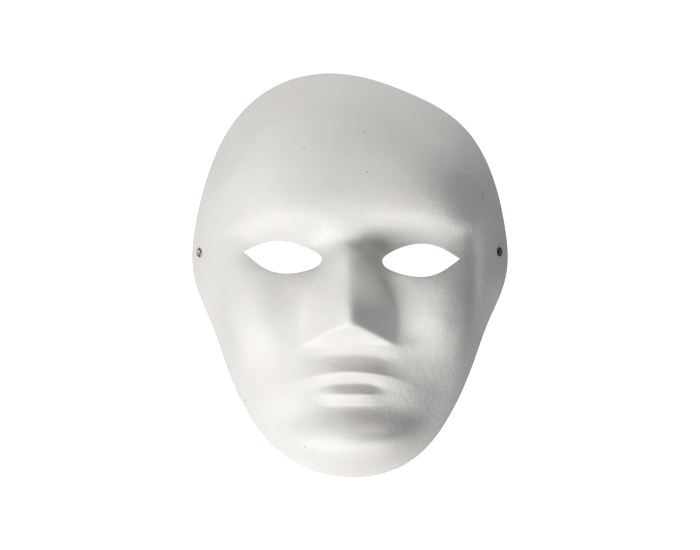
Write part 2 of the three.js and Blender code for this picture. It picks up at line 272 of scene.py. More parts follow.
@dataclass(frozen=True)
class FaceForm:
    """The whole face as one height over the rim plane, and the inner face a wall below it."""

    wall: float = 2.0
    rim: Rim = Rim()
    rim_blend: float = 0.2
    dome: float = 51.0
    dome_side: float = 3.5
    dome_forehead: float = 1.9
    dome_chin: float = 1.6
    middle: tuple[Mound, ...] = (
        Mound(rise=9.6, x=0, y=55.3, wide=150, tall=30),
        Mound(rise=2.9, x=0, y=41.2, wide=74, tall=20.6, square=0.8),
        Mound(rise=1.7, x=0, y=-84, wide=62, tall=23.3, square=3.2),
        Mound(rise=20.5, x=1.9, y=-114.9, wide=51.5, tall=32.9, square=2.5),
        Mound(rise=-3.5, x=72.9, y=-9.6, wide=4.1, tall=28.5),
        Mound(rise=3.6, x=10.8, y=-40.8, wide=22.8, tall=5.5),
        Mound(rise=-5.6, x=58.5, y=-76, wide=24.5, tall=20.7, turn=7),
        Mound(rise=4.4, x=28.8, y=1.9, wide=13, tall=7.4),
        Mound(rise=-2, x=15.6, y=-91.4, wide=17, tall=5.3),
        Mound(rise=1.5, x=52.3, y=40.7, wide=31, tall=17.2, turn=-35),
    )
    paired: tuple[Mound, ...] = (
        Mound(rise=-15.3, x=35.5, y=14.4, wide=30, tall=13.7, square=1.3),
        Mound(rise=-2.3, x=61.1, y=23.4, wide=11.2, tall=5.1),
        Mound(rise=5.6, x=8.3, y=13.3, wide=11, tall=7.5),
        Mound(rise=-4.8, x=17.9, y=14.7, wide=9.1, tall=11.7),
        Mound(rise=5.2, x=35.2, y=6.9, wide=22.4, tall=7.2),
        Mound(rise=-1.8, x=27, y=-23, wide=27.5, tall=10.4, turn=-65),
        Mound(rise=10.7, x=62, y=-25.3, wide=19.3, tall=24.6, turn=24.5, square=1.2),
        Mound(rise=-6.6, x=78.2, y=36.2, wide=15.6, tall=20.8),
    )
    nose: Nose = Nose()
    lips: Lips = Lips()
    ball_rings: tuple[float, ...] = (0.35, 0.6, 0.8, 0.95)
    ball_spokes: int = 12

    def squareness(self, angle: Array) -> Array:
        """The dome's exponent at an angle: higher towards the forehead and the chin."""
        end = np.where(np.sin(angle) > 0, self.dome_forehead, self.dome_chin)
        return self.dome_side + np.sin(angle) ** 2 * end

    def from_rim(self, x: Array, y: Array) -> Array:
        """How far in from the rim a point lies, as a part of the rim's radius."""
        return 1 - np.hypot(x, y) / self.rim.radius(np.arctan2(y, x))

    def outer(self, x: Array, y: Array) -> Array:
        """The outer face: the dome, plus all relief, which fades out near the rim."""
        reach = 1 - self.from_rim(x, y)
        dome = self.dome * (1 - reach ** self.squareness(np.arctan2(y, x)))
        head = dome + self.lips.relief(x, y)
        head = head + sum(m.height(x, y) for m in self.middle)
        head = head + sum(m.height(x, y) + m.height(-x, y) for m in self.paired)
        whole = smooth_max(head, self.nose.height(x, y), self.nose.foot_blend(x, y))
        return dome + smooth_step((1 - reach) / self.rim_blend) * (whole - dome)

    def inner(self, x: Array, y: Array) -> Array:
        """The inner face: as low as a ball of the wall's thickness reaches below the outer one."""
        lowest = self.outer(x, y) - self.wall
        for ring in self.ball_rings:
            drop = self.wall * math.sqrt(1 - ring**2)
            for angle in np.arange(self.ball_spokes) * 2 * math.pi / self.ball_spokes:
                dx, dy = ring * self.wall * math.cos(angle), ring * self.wall * math.sin(angle)
                lowest = np.minimum(lowest, self.outer(x + dx, y + dy) - drop)
        return lowest

    def inner_reach(self, angle: Array) -> Array:
        """Part of the rim's radius at which the inner face meets the rim plane."""
        radius = self.rim.radius(angle)
        slope = self.dome * self.squareness(angle) / radius
        return 1 - self.wall * np.hypot(1, 1 / slope) / radius


@dataclass(frozen=True)
class EyeHole:
    """An eye hole: its corners, and how far the lids stand from the line between them."""

    outer_corner: Span
    inner_corner: Span
    upper_lid: float
    lower_lid: float
    upper_roundness: float = 0.4
    lower_roundness: float = 0.55

    def chord(self, t: Array) -> Array:
        """Points on the line between the corners, from the outer one at 0 to the inner one at 1."""
        outer, inner = np.array(self.outer_corner), np.array(self.inner_corner)
        return outer + (inner - outer) * t[:, None]

    def bow(self, t: Array, lid: Lid) -> Array:
        """A lid's height over the chord: sin(pi t)^(1 - roundness t), blunt at the inner corner."""
        upper = lid is Lid.UPPER
        reach = self.upper_lid if upper else self.lower_lid
        roundness = self.upper_roundness if upper else self.lower_roundness
        rise = np.clip(np.sin(np.pi * t), 0, 1) ** (1 - roundness * t)
        return lid.value * reach * np.where((t <= 0) | (t >= 1), 0, rise)


EYE_HOLES = {
    Side.LEFT: EyeHole((-62.0, 13.2), (-16.0, 9.2), upper_lid=8.2, lower_lid=10.6),
    Side.RIGHT: EyeHole((64.3, 9.1), (19.0, 8.1), upper_lid=9.4, lower_lid=10.0),
}


def graded(count: int, start: float, end: float, finer: float) -> Array:
    """Steps from 0 to 1 that are finer between start and end.

    Args:
        count: number of steps.
        start: where the fine stretch begins.
        end: where the fine stretch ends.
        finer: how many times shorter the steps are there.

    Returns:
        count + 1 rising values; equal shares of the summed density of steps.
    """
    t = np.linspace(0, 1, GRADING_SAMPLES)
    rising, falling = (t - start) / GRADING_EASE + 0.5, (end - t) / GRADING_EASE + 0.5
    window = smooth_step(rising) * smooth_step(falling)
    share = np.cumsum(1 + (finer - 1) * window)
    share = (share - share[0]) / (share[-1] - share[0])
    return np.interp(np.linspace(0, 1, count + 1), share, t)


def even_line(start: Array | Span, end: Array | Span, steps: int) -> Array:
    """Evenly spaced plan points from start to end, both with them."""
    return start + np.linspace(0, 1, steps + 1)[:, None] * np.subtract(end, start)


def coons(near: Array, far: Array, left: Array, right: Array, u: Array, v: Array) -> Array:
    """A net between four border lines, by the bilinear Coons formula.

    Args:
        near: points of the first row, along u.
        far: points of the last row, along u.
        left: points of the first column, along v.
        right: points of the last column, along v.
        u: place of each column from 0 to 1.
        v: place of each row from 0 to 1.

    Returns:
        Rows of points: both ruled nets added, less the net of the four corners.
    """
    uu, vv = u[None, :, None], v[:, None, None]
    rows = (1 - vv) * near[None] + vv * far[None]
    columns = (1 - uu) * left[:, None] + uu * right[:, None]
    first, last = ((1 - uu) * row[0] + uu * row[-1] for row in (near, far))
    return rows + columns - ((1 - vv) * first + vv * last)


@dataclass(frozen=True)
class Ripple:
    """Slight unevenness of a surface: plane waves of random length, heading and phase.

    The steepness is the root mean square of the slope.
    """

    seed: int
    waves: int
    shortest: float
    longest: float
    steepness: float

    def height(self, x: Array, y: Array) -> Array:
        """The sum of the sines at plan points; a longer wave is higher, so all are as steep."""
        draw = np.random.default_rng(self.seed)
        total = np.zeros_like(x)
        for _ in range(self.waves):
            length = math.exp(draw.uniform(math.log(self.shortest), math.log(self.longest)))
            heading, phase = draw.uniform(0, 2 * math.pi, 2)
            along = x * math.cos(heading) + y * math.sin(heading)
            total += length * np.sin(2 * math.pi * along / length + phase)
        return total * self.steepness / (2 * math.pi * math.sqrt(self.waves / 2))


@dataclass
class MeshParts:
    """Vertices and faces gathered for one mesh."""

    points: list[Array] = field(default_factory=list)
    quads: list[Index] = field(default_factory=list)
    triangles: list[Index] = field(default_factory=list)
    count: int = 0

    def add(self, points: Array) -> Index:
        """Adds points of any leading shape and returns their numbers in that shape."""
        shape = points.shape[:-1]
        flat = points.reshape(-1, 3)
        numbers = self.count + np.arange(len(flat)).reshape(shape)
        self.points.append(flat)
        self.count += len(flat)
        return numbers

    def net(self, grid: Index, turned: bool = False) -> None:
        """Quads over a grid of numbers; turned looks the other way."""
        corners = [grid[:-1, :-1], grid[:-1, 1:], grid[1:, 1:], grid[1:, :-1]]
        quads = np.stack(corners, -1).reshape(-1, 4)
        self.quads.append(quads[:, ::-1] if turned else quads)

    def fan(self, centre: Array, ring: Index) -> None:
        """Triangles from a new point to a closed ring, facing where it looks anticlockwise."""
        apex = np.full(len(ring), self.add(centre[None])[0])
        self.triangles.append(np.stack([apex, ring, np.roll(ring, -1)], -1))

    def band(self, ring: Index, following: Index) -> None:
        """Quads between two closed rings of equal count; seen along the ring, they face right."""
        corners = [ring, following, np.roll(following, -1), np.roll(ring, -1)]
        self.quads.append(np.stack(corners, -1))

    def bands(self, rings: Sequence[Index], turned: bool = False) -> None:
        """Bands between each two rings that follow one another; turned looks the other way."""
        for ring, following in zip(rings[:-1], rings[1:]):
            self.band(*((following, ring) if turned else (ring, following)))

    def zip_loops(self, a: Index, b: Index, along_a: Array, along_b: Array) -> None:
        """Triangles between two closed loops with any number of points.

        Args:
            a: numbers of the first loop, once round.
            b: numbers of the second loop, once round the same way.
            along_a: rising places of the first loop's points, from 0 to under 1.
            along_b: the same for the second loop.
        """
        next_a, next_b = np.append(along_a[1:], 1.0), np.append(along_b[1:], 1.0)
        seen_b = np.searchsorted(along_b, next_a, side="left")
        apex_b = b[np.maximum(seen_b, 1) - 1]
        self.triangles.append(np.stack([a, apex_b, np.roll(a, -1)], -1))
        seen_a = np.searchsorted(np.append(along_a, 1.0), next_b, side="right")
        apex_a = np.append(a, a[0])[seen_a - 1]
        self.triangles.append(np.stack([b, np.roll(b, -1), apex_a], -1))

    def build(self, name: str) -> bpy.types.Object:
        """Makes the object, in metres, with smooth faces.

        Args:
            name: name of the object and of its mesh.

        Returns:
            The object, linked to the scene.
        """
        points = np.concatenate(self.points) * MM
        quads = np.concatenate(self.quads) if self.quads else np.zeros((0, 4), int)
        triangles = np.concatenate(self.triangles) if self.triangles else np.zeros((0, 3), int)
        mesh = bpy.data.meshes.new(name)
        mesh.vertices.add(len(points))
        mesh.vertices.foreach_set("co", points.astype(np.float32).ravel())
        corners = np.concatenate([quads.ravel(), triangles.ravel()]).astype(np.int32)
        sizes = np.concatenate([np.full(len(quads), 4), np.full(len(triangles), 3)])
        mesh.loops.add(len(corners))
        mesh.loops.foreach_set("vertex_index", corners)
        mesh.polygons.add(len(sizes))
        mesh.polygons.foreach_set("loop_start", (np.cumsum(sizes) - sizes).astype(np.int32))
        mesh.polygons.foreach_set("use_smooth", np.ones(len(sizes), bool))
        mesh.update(calc_edges=True)
        mesh.validate()
        return put_in_scene(name, mesh)


@dataclass(frozen=True)
class NetSteps:
    """How finely one face of the skin is divided above and below the eyes.

    A band is the part of the way from the seam to the rim where the rows lie closer together.
    """

    upper_rows: int
    lower_rows: int
    upper_band: Span = (0.0, 0.38)
    lower_band: Span = (0.26, 0.76)
    finer: float = 2.2


@dataclass
class PulpSkin:
    """The moulded skin: fine outer and inner faces, rounded eye holes, and the cut rim."""

    form: FaceForm = FaceForm()
    end_columns: int = 34
    lid_columns: int = 72
    bridge_columns: int = 52
    lid_clustering: float = 0.75
    outer_steps: NetSteps = NetSteps(upper_rows=76, lower_rows=152)
    inner_steps: NetSteps = NetSteps(upper_rows=34, lower_rows=56, finer=1.5)
    temple_angles: Span = (6.0, 172.0)
    crown_angles: Span = (50.0, 130.0)
    jaw_angles: Span = (-48.0, -132.0)
    lid_round: float = 0.6
    inside_round: float = 0.35
    rim_round: float = 0.4
    round_steps: int = 3
    slope_step: float = 0.05
    front_ripple: Ripple = Ripple(seed=4, waves=24, shortest=7, longest=45, steepness=0.02)
    back_ripple: Ripple = Ripple(seed=9, waves=40, shortest=3.5, longest=16, steepness=0.09)
    rim_calm: Span = (0.03, 0.12)
    parts: MeshParts = field(default_factory=MeshParts)

    def lid_steps(self) -> Array:
        """Places along a lid from corner to corner, closer together near both corners."""
        even = np.linspace(0, 1, self.lid_columns + 1)
        return even - self.lid_clustering * np.sin(2 * np.pi * even) / (2 * np.pi)

    def seam(self, left_end: Array, right_end: Array) -> tuple[Array, Array, Array]:
        """The line across the face through the eye corners.

        Args:
            left_end: the point on the rim at the left temple.
            right_end: the point on the rim at the right temple.

        Returns:
            Its points, and how far the upper and the lower lid stand off it at each point.
        """
        left, right = EYE_HOLES[Side.LEFT], EYE_HOLES[Side.RIGHT]
        t = self.lid_steps()
        pieces = [
            even_line(left_end, left.outer_corner, self.end_columns),
            left.chord(t)[1:],
            even_line(left.inner_corner, right.inner_corner, self.bridge_columns)[1:],
            right.chord(1 - t)[1:],
            even_line(right.outer_corner, right_end, self.end_columns)[1:],
        ]
        bows = []
        for lid in Lid:
            ends = np.zeros(self.end_columns)
            bridge = np.zeros(self.bridge_columns - 1)
            stretches = [ends, left.bow(t, lid), bridge, right.bow(1 - t, lid), ends]
            bows.append(np.concatenate(stretches))
        return np.concatenate(pieces), bows[0], bows[1]

    def open_columns(self) -> tuple[slice, slice]:
        """Columns strictly between the corners of the left and of the right eye hole."""
        first = self.end_columns + 1
        second = self.end_columns + self.lid_columns + self.bridge_columns + 1
        width = self.lid_columns - 1
        return slice(first, first + width), slice(second, second + width)

    def border_point(self, angle: Array, outside: bool) -> Array:
        """The point of the rim's outer or inner edge at an angle."""
        return self.form.rim.point(angle, 1.0 if outside else self.form.inner_reach(angle))

    def net_points(self, steps: NetSteps, outside: bool) -> tuple[Array, Array]:
        """Plan points of the nets above and below the eyes, from the seam to the rim.

        Args:
            steps: how finely to divide them.
            outside: True for the outer face, whose rim is a wall's thickness wider.

        Returns:
            Rows of points of the upper and of the lower net.
        """
        right_end, left_end = np.radians(self.temple_angles)
        ends = [self.border_point(angle, outside) for angle in (left_end, right_end)]
        seam, upper_bow, lower_bow = self.seam(*ends)
        u = (seam[:, 0] - seam[0, 0]) / (seam[-1, 0] - seam[0, 0])
        turn = 2 * np.pi
        nets = []
        for bow, rows, band, far_angles, left_start in (
            (upper_bow, steps.upper_rows, steps.upper_band, self.crown_angles, left_end),
            (lower_bow, steps.lower_rows, steps.lower_band, self.jaw_angles, left_end - turn),
        ):
            v = graded(rows, *band, steps.finer)
            far_right, far_left = np.radians(far_angles)
            near = seam + np.column_stack([np.zeros_like(bow), bow])
            far = self.border_point(far_left + u * (far_right - far_left), outside)
            left = self.border_point(left_start + v * (far_left - left_start), outside)
            right = self.border_point(right_end + v * (far_right - right_end), outside)
            nets.append(coons(near, far, left, right, u, v))
        return nets[0], nets[1]

    def number_net(self, upper: Array, lower: Array) -> tuple[Array, Index, Index]:
        """Numbers one face's plan points so that both nets share the closed stretches of the seam.

        Args:
            upper: rows of plan points from the seam to the crown.
            lower: rows of plan points from the seam to the jaw.

        Returns:
            The plan points in a list, and the upper and lower grids of their numbers.
        """
        row = upper.shape[1]
        upper_grid = np.arange(upper.shape[0] * row).reshape(-1, row)
        first = upper_grid.size
        rest = first + np.arange((lower.shape[0] - 1) * row).reshape(-1, row)
        lids = np.zeros(row, bool)
        for columns in self.open_columns():
            lids[columns] = True
        seam = upper_grid[0].copy()
        seam[lids] = first + rest.size + np.arange(lids.sum())
        plan = np.concatenate([upper.reshape(-1, 2), lower[1:].reshape(-1, 2), lower[0, lids]])
        return plan, upper_grid, np.concatenate([seam[None], rest])

    def rim_loop(self, upper: Index, lower: Index) -> Index:
        """Numbers round the outline, anticlockwise from the right temple."""
        return np.concatenate([
            upper[:-1, -1], upper[-1, :0:-1], upper[:0:-1, 0],
            lower[:-1, 0], lower[-1, :-1], lower[:0:-1, -1],
        ])

    def lid_loops(self, upper: Index, lower: Index) -> list[Index]:
        """Numbers round each eye hole: to the right on the upper lid, and back on the lower."""
        loops = []
        for columns in self.open_columns():
            first, last = columns.start - 1, columns.stop
            loops.append(np.concatenate([upper[0, first:last], lower[0, last:first:-1]]))
        return loops

    def round_over(self, plan: Array, loop: Index, height: Height, radius: float,
                   outside: bool, level: bool) -> list[Array]:
        """Pulls a border back onto its face and rounds the corner from there into the cut wall.

        Args:
            plan: plan points of the face; the border's own are moved.
            loop: numbers of the border, with the skin on its left.
            height: the face's height at plan points.
            radius: how far the rounding reaches from the corner both ways.
            outside: True for the outer face.
            level: True for the rim, whose cut lies on the rim plane; an eye hole's is upright.

        Returns:
            Rings of points from the border to the wall: quadratic Bezier arcs round the corner.
        """
        corner = plan[loop]
        along = unit(np.roll(corner, -1, 0) - np.roll(corner, 1, 0))
        away = np.stack([along[:, 1], -along[:, 0]], -1)
        ahead, behind = corner + self.slope_step * away, corner - self.slope_step * away
        slope = (height(*ahead.T) - height(*behind.T)) / (2 * self.slope_step)
        plan[loop] = corner - away * (radius / np.hypot(1, slope))[:, None]
        start = np.column_stack([plan[loop], height(*plan[loop].T)])
        zero = np.zeros(len(loop))
        middle = np.column_stack([corner, zero if level else height(*corner.T)])
        wall = np.column_stack([away, zero]) if level else np.array([0.0, 0.0, 1.0])
        end = middle + radius * (-wall if outside else wall)
        rings = []
        for t in np.linspace(0, 1, self.round_steps + 1)[1:]:
            rings.append((1 - t) ** 2 * start + 2 * t * (1 - t) * middle + t * t * end)
        return rings

    def face(self, outside: bool) -> tuple[list[Index], list[list[Index]], list[Array]]:
        """Adds the outer or the inner face.

        Args:
            outside: True for the outer face.

        Returns:
            The borders' numbers (rim, left eye hole, right eye hole), the numbers of the rings that
            round each border over, and the borders' places once round, from 0 to under 1.
        """
        steps = self.outer_steps if outside else self.inner_steps
        height = self.outer_height if outside else self.inner_height
        plan, upper, lower = self.number_net(*self.net_points(steps, outside))
        loops = [self.rim_loop(upper, lower), *self.lid_loops(upper, lower)]
        angle = np.arctan2(plan[loops[0], 1], plan[loops[0], 0])
        turn = np.mod(angle - angle[0], 2 * np.pi) / (2 * np.pi)
        places = [turn, *(np.arange(len(loop)) / len(loop) for loop in loops[1:])]
        outer_radii = [self.rim_round, self.lid_round, self.lid_round]
        radii = outer_radii if outside else [self.inside_round] * 3
        rings = []
        for k, (loop, radius) in enumerate(zip(loops, radii)):
            rings.append(self.round_over(plan, loop, height, radius, outside, level=k == 0))
        points = np.column_stack([plan, height(*plan.T)])
        first = int(self.parts.add(points).flat[0])
        self.parts.net(first + upper, turned=not outside)
        self.parts.net(first + lower, turned=outside)
        ring_numbers = [[self.parts.add(ring) for ring in group] for group in rings]
        return [first + loop for loop in loops], ring_numbers, places

    def looseness(self, x: Array, y: Array) -> Array:
        """0 along the cut rim, which lies flat, rising to 1 a little way in from it."""
        start, end = self.rim_calm
        return smooth_step((self.form.from_rim(x, y) - start) / (end - start))

    def outer_height(self, x: Array, y: Array) -> Array:
        """The outer face with the slight unevenness of hand-laid pulp."""
        return self.form.outer(x, y) + self.looseness(x, y) * self.front_ripple.height(x, y)

    def inner_height(self, x: Array, y: Array) -> Array:
        """The inner face, rougher than the outer one because it never met the mould."""
        rough = self.form.inner(x, y) + self.looseness(x, y) * self.back_ripple.height(x, y)
        return np.maximum(rough, 0.0)

    def stitch(self, outer: list[Index], inner: list[Index], places: tuple[Array, Array]) -> None:
        """Closes one cut edge.

        Args:
            outer: rings of numbers from the outer face's border to the wall.
            inner: rings of numbers from the inner face's border to the wall.
            places: places once round of the outer and of the inner rings' points.
        """
        self.parts.bands(outer)
        self.parts.bands(inner, turned=True)
        self.parts.zip_loops(outer[-1], inner[-1], *places)

    def build(self) -> bpy.types.Object:
        """Makes the skin: two faces and the cut edges between them, then the eyelet holes."""
        outer_loops, outer_rings, outer_places = self.face(outside=True)
        inner_loops, inner_rings, inner_places = self.face(outside=False)
        for k in range(3):
            outer = [outer_loops[k], *outer_rings[k]]
            inner = [inner_loops[k], *inner_rings[k]]
            self.stitch(outer, inner, (outer_places[k], inner_places[k]))
        return self.parts.build("pulp_skin")


@dataclass(frozen=True)
class Seat:
    """A place on the outer face with the frame of its normal."""

    middle: Array
    normal: Array

    @classmethod
    def on(cls, form: FaceForm, x: float, y: float, step: float) -> "Seat":
        """The seat at a plan point.

        Args:
            form: the face that the seat is on.
            x: how far right of the middle the seat is, in plan.
            y: how far above the middle it is, in plan.
            step: how far off the point, each way, the slope is measured.

        Returns:
            The seat, whose normal is square to the face's mean slope there.
        """
        px = np.array([x + step, x - step, x, x, x])
        py = np.array([y, y, y + step, y - step, y])
        h = form.outer(px, py)
        slope_x, slope_y = (h[0] - h[1]) / (2 * step), (h[2] - h[3]) / (2 * step)
        return cls(np.array([x, y, h[4]]), unit(np.array([-slope_x, -slope_y, 1.0])))

    def axes(self) -> tuple[Array, Array]:
        """Two directions square to the normal and to each other."""
        first = unit(np.cross([0.0, 1.0, 0.0], self.normal))
        return first, np.cross(self.normal, first)

    def turned(self, profile: Array, sides: int) -> Array:
        """Rings of a profile turned round the normal.

        Args:
            profile: points as radius and height over the face.
            sides: number of points in a ring.

        Returns:
            Points, one row for each point of the profile.
        """
        first, second = self.axes()
        angle = np.linspace(0, 2 * np.pi, sides, endpoint=False)[None, :, None]
        radius, height = profile[:, 0, None, None], profile[:, 1, None, None]
        spoke = np.cos(angle) * first + np.sin(angle) * second
        return self.middle + radius * spoke + height * self.normal


@dataclass(frozen=True)
class Eyelet:
    """A brass eyelet: a strip of metal turned round the bore and curled over at both ends.

    Bore, flange and hole are radii. The curls start at the lift from the skin and bulge from there.
    """

    name: str
    x: float
    y: float
    bore: float = 1.4
    flange: float = 2.8
    metal: float = 0.34
    lift: float = 0.12
    curl: float = 0.42
    hole: float = 2.05
    wall: float = 2.0
    sides: int = 64
    curl_points: int = 16
    tube_points: int = 5
    cap_points: int = 5
    drill: float = 12.0

    def seat(self, form: FaceForm) -> Seat:
        """Where the eyelet sits on the face."""
        return Seat.on(form, self.x, self.y, self.flange)

    def middle_line(self) -> Array:
        """The strip's middle: a half ellipse behind the skin, the tube, and one in front."""
        tube = self.bore + self.metal / 2
        lip = self.flange - self.metal / 2
        middle, reach = (tube + lip) / 2, (lip - tube) / 2
        angle = np.linspace(0, np.pi, self.curl_points)
        across, bulge = reach * np.cos(angle), self.curl * np.sin(angle)
        front = np.column_stack([middle - across, self.lift + bulge])
        back = np.column_stack([middle + across, -self.wall - self.lift - bulge[::-1]])
        rise = np.linspace(back[-1, 1], front[0, 1], self.tube_points + 2)[1:-1]
        straight = np.column_stack([np.full(self.tube_points, tube), rise])
        return np.concatenate([back, straight, front])

    def profile(self) -> Array:
        """The strip's closed outline: its middle set off by half the metal, with round ends."""
        line = self.middle_line()
        along = unit(np.gradient(line, axis=0))
        side = np.column_stack([-along[:, 1], along[:, 0]]) * self.metal / 2
        ahead = along * self.metal / 2
        cap = np.linspace(0, np.pi, self.cap_points + 2)[1:-1, None]
        end = line[-1] + np.cos(cap) * side[-1] + np.sin(cap) * ahead[-1]
        start = line[0] - np.cos(cap) * side[0] - np.sin(cap) * ahead[0]
        return np.concatenate([line + side, end, (line - side)[::-1], start])

    def build(self, form: FaceForm) -> bpy.types.Object:
        """Makes the eyelet by turning its profile round the seat's normal.

        Args:
            form: the face that it sits on.

        Returns:
            The eyelet's object.
        """
        parts = MeshParts()
        rings = parts.add(self.seat(form).turned(self.profile(), self.sides))
        parts.bands([rings[-1], *rings])
        return parts.build(self.name)

    def drill_hole(self, form: FaceForm, skin: bpy.types.Object) -> None:
        """Cuts the round hole for the tube through the skin.

        Args:
            form: the face that the eyelet sits on.
            skin: the skin's object; its mesh is replaced.
        """
        half, seat = self.drill / 2, self.seat(form)
        profile = np.array([[self.hole, -half], [self.hole, half]])
        parts = MeshParts()
        low, high = parts.add(seat.turned(profile, self.sides))
        parts.band(high, low)
        for numbers, height in ((low[::-1], -half), (high, half)):
            parts.fan(seat.middle + height * seat.normal, numbers)
        cutter = parts.build(f"{self.name}_drill")
        cut = skin.modifiers.new("eyelet_hole", "BOOLEAN")
        cut.operation, cut.solver, cut.object = "DIFFERENCE", "EXACT", cutter
        apply_modifiers(skin)
        bpy.data.objects.remove(cutter)


def apply_modifiers(piece: bpy.types.Object) -> None:
    """Replaces a piece's mesh by what its modifiers make of it.

    Args:
        piece: the object; its modifiers are removed.
    """
    shown = piece.evaluated_get(bpy.context.evaluated_depsgraph_get())
    made = bpy.data.meshes.new_from_object(shown)
    old = piece.data
    piece.modifiers.clear()
    piece.data = made
    made.name = piece.name
    bpy.data.meshes.remove(old)


EYELETS = (
    Eyelet("brass_eyelet_left", x=-88.9, y=13.0),
    Eyelet("brass_eyelet_right", x=88.8, y=13.5),
)


@dataclass(frozen=True)
class Noise:
    """A noise with so many features in a metre, and so many finer octaves over them."""

    per_metre: float
    octaves: float


@dataclass
class NodeSheet:
    """A material's nodes, with short calls to add and join them."""

    material: bpy.types.Material

    @classmethod
    def new(cls, name: str) -> "NodeSheet":
        """An empty node material."""
        material = bpy.data.materials.new(name)
        material.use_nodes = True
        material.node_tree.nodes.clear()
        return cls(material)

    def add(self, kind: str, **inputs: object) -> bpy.types.Node:
        """Adds a node; a value sets the input of that name, and a socket is joined to it.

        Args:
            kind: Blender's name of the node's type.
            **inputs: input names, with _ for a space, and their values or sockets. A name that is a
                property of the node sets that property.

        Returns:
            The node.
        """
        node = self.material.node_tree.nodes.new(kind)
        for name, value in inputs.items():
            if hasattr(node, name):
                setattr(node, name, value)
                continue
            self.feed(node.inputs[name.replace("_", " ")], value)
        return node

    def feed(self, socket: Socket, value: object) -> None:
        """Joins a socket to an input, or sets the input's value."""
        if isinstance(value, Socket):
            self.material.node_tree.links.new(value, socket)
        else:
            socket.default_value = value

    def fill(self, node: bpy.types.Node, *values: object) -> bpy.types.Node:
        """Feeds the first inputs of a node in order, and returns the node."""
        for socket, value in zip(node.inputs, values):
            self.feed(socket, value)
        return node

    def math(self, operation: str, *values: object) -> Socket:
        """The result of a Math node on values or sockets."""
        return self.fill(self.add("ShaderNodeMath", operation=operation), *values).outputs[0]

    def distance(self, where: Socket, place: tuple[float, float, float]) -> Socket:
        """How far a vector is from a fixed place."""
        node = self.add("ShaderNodeVectorMath", operation="DISTANCE")
        return self.fill(node, where, place).outputs["Value"]

    def noise(self, where: Socket, noise: Noise) -> Socket:
        """The value of a noise, mostly between 0.3 and 0.7."""
        inputs = {"Vector": where, "Scale": noise.per_metre, "Detail": noise.octaves}
        return self.add("ShaderNodeTexNoise", **inputs).outputs["Fac"]

    def spread(self, value: Socket, span: Span, to: Span = (0.0, 1.0)) -> Socket:
        """Carries one range to another in a straight line, held at the ends."""
        return self.fill(self.add("ShaderNodeMapRange", clamp=True), value, *span, *to).outputs[0]

    def blend(self, amount: object, first: object, second: object) -> Socket:
        """A colour between two colours."""
        node = self.add("ShaderNodeMix", data_type="RGBA")
        sockets = {socket.identifier: socket for socket in node.inputs}
        for name, value in (("Factor_Float", amount), ("A_Color", first), ("B_Color", second)):
            self.feed(sockets[name], value)
        return next(s for s in node.outputs if s.identifier == "Result_Color")

    def bump(self, height: Socket) -> Socket:
        """The normal of a surface raised by a height in metres."""
        node = self.add("ShaderNodeBump", Height=height, Strength=1.0, Distance=1.0)
        return node.outputs["Normal"]

    def finish(self, shader: bpy.types.Node) -> bpy.types.Material:
        """Joins the shader to the output and returns the material."""
        self.add("ShaderNodeOutputMaterial", Surface=shader.outputs[0])
        return self.material


